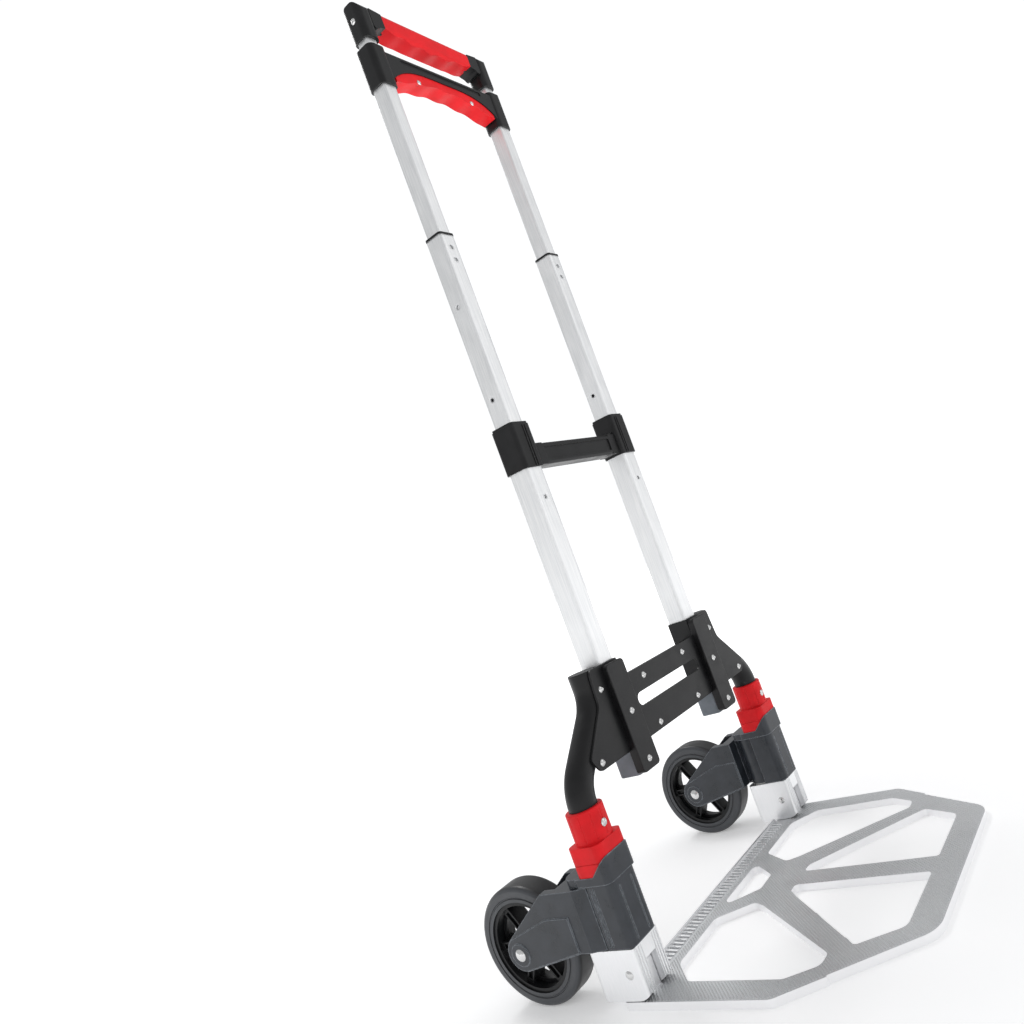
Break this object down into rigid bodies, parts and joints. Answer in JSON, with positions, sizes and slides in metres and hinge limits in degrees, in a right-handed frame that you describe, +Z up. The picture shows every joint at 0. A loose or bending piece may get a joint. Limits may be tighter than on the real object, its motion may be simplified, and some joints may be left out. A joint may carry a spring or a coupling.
{
  "type": "hand truck",
  "caption": "Folding hand truck with a windowed toe plate, swing-in rubber wheels and a telescoping twin-rail handle with red grips.",
  "frame": {"origin": "centre of the footprint on the floor, under the middle of the truck's front-to-back length", "axes": "+X across the truck, -Y towards the toe plate's front edge, +Y towards the wheels, +Z up the rails; left means -X"},
  "size_m": [0.4066, 0.45, 1.034],
  "materials": {
    "rail_aluminium": "satin anodised",
    "plate_aluminium": "satin, fine cast",
    "foot_aluminium": "bright satin",
    "black_steel": "black powder coat",
    "black_plastic": "satin moulded",
    "grey_plastic": "matt moulded",
    "slate_plastic": "fine grained",
    "red_plastic": "semi-gloss moulded",
    "tyre_rubber": "satin rubber",
    "rim_plastic": "satin moulded",
    "white_nylon": "natural nylon",
    "bright_steel": "bright zinc",
    "spring_steel": "drawn wire"
  },
  "bodies": {
    "frame": {"outer_rail_left": "rail_aluminium", "outer_rail_right": "rail_aluminium", "rail_plug_left": "grey_plastic", "rail_plug_right": "grey_plastic", "lower_crossbar": "black_plastic", "bracket_plate": "black_steel", "bracket_back_channel": "black_steel", "rail_strap_left": "black_steel", "rail_strap_right": "black_steel", "strap_rivets": "bright_steel", "bracket_rivets": "bright_steel", "wing_rivets": "bright_steel", "side_tube_left": "black_steel", "side_tube_right": "black_steel", "tube_caps": "black_plastic", "wheel_housing_left": "slate_plastic", "wheel_housing_right": "slate_plastic", "collar_left": "red_plastic", "collar_right": "red_plastic", "collar_screws": "bright_steel", "thrust_washers": "white_nylon", "pivot_pins": "bright_steel", "foot_block_left": "foot_aluminium", "foot_block_right": "foot_aluminium", "hinge_pins": "bright_steel"},
    "toe_plate": {"toe_plate": "plate_aluminium"},
    "wheel_arm_left": {"wheel_arm_left": "slate_plastic", "axle_bolt_left": "bright_steel"},
    "wheel_arm_right": {"wheel_arm_right": "slate_plastic", "axle_bolt_right": "bright_steel"},
    "wheel_left": {"tyre_left": "tyre_rubber", "rim_left": "rim_plastic", "hub_bush_left": "white_nylon"},
    "wheel_right": {"tyre_right": "tyre_rubber", "rim_right": "rim_plastic", "hub_bush_right": "white_nylon"},
    "mid_tubes": {"mid_tube_left": "rail_aluminium", "mid_tube_right": "rail_aluminium", "mid_bush_left": "black_plastic", "mid_bush_right": "black_plastic", "mid_guide_shoes": "grey_plastic"},
    "inner_tubes": {"inner_tube_left": "rail_aluminium", "inner_tube_right": "rail_aluminium", "inner_guide_shoes": "grey_plastic", "spring_seats": "grey_plastic", "return_springs": "spring_steel", "lower_grip_frame": "black_plastic", "lower_grip_pad": "red_plastic", "lower_grip_screws": "bright_steel"},
    "top_handle": {"handle_rod_left": "rail_aluminium", "handle_rod_right": "rail_aluminium", "release_rods": "spring_steel", "top_grip_frame": "black_plastic", "top_grip_pad": "red_plastic", "top_grip_screws": "bright_steel"}
  },
  "joints": [
    {"name": "toe_plate_fold", "type": "hinge", "parent": "frame", "child": "toe_plate", "pos_m": [0, 0.041, 0.033], "axis": [-1, 0, 0], "range_deg": [0, 90]},
    {"name": "wheel_arm_left_swing", "type": "hinge", "parent": "frame", "child": "wheel_arm_left", "pos_m": [-0.1745, 0.064, 0.088], "axis": [0, 0, -1], "range_deg": [0, 90]},
    {"name": "wheel_arm_right_swing", "type": "hinge", "parent": "frame", "child": "wheel_arm_right", "pos_m": [0.1745, 0.064, 0.088], "axis": [0, 0, 1], "range_deg": [0, 90]},
    {"name": "wheel_left_spin", "type": "hinge", "parent": "wheel_arm_left", "child": "wheel_left", "pos_m": [-0.1745, 0.163, 0.062], "axis": [1, 0, 0], "continuous": true},
    {"name": "wheel_right_spin", "type": "hinge", "parent": "wheel_arm_right", "child": "wheel_right", "pos_m": [0.1745, 0.163, 0.062], "axis": [1, 0, 0], "continuous": true},
    {"name": "mid_stage_slide", "type": "slide", "parent": "frame", "child": "mid_tubes", "axis": [0, 0, 1], "range_m": [-0.201, 0]},
    {"name": "inner_stage_slide", "type": "slide", "parent": "mid_tubes", "child": "inner_tubes", "axis": [0, 0, 1], "range_m": [-0.159, 0]},
    {"name": "release_squeeze", "type": "slide", "parent": "inner_tubes", "child": "top_handle", "axis": [0, 0, -1], "range_m": [0, 0.008], "stiffness_N_per_m": 900, "springref_m": -0.012}
  ],
  "couplings": [
    {"joint": "wheel_arm_left_swing", "follows": "toe_plate_fold", "ratio": 1},
    {"joint": "wheel_arm_right_swing", "follows": "toe_plate_fold", "ratio": 1}
  ]
}
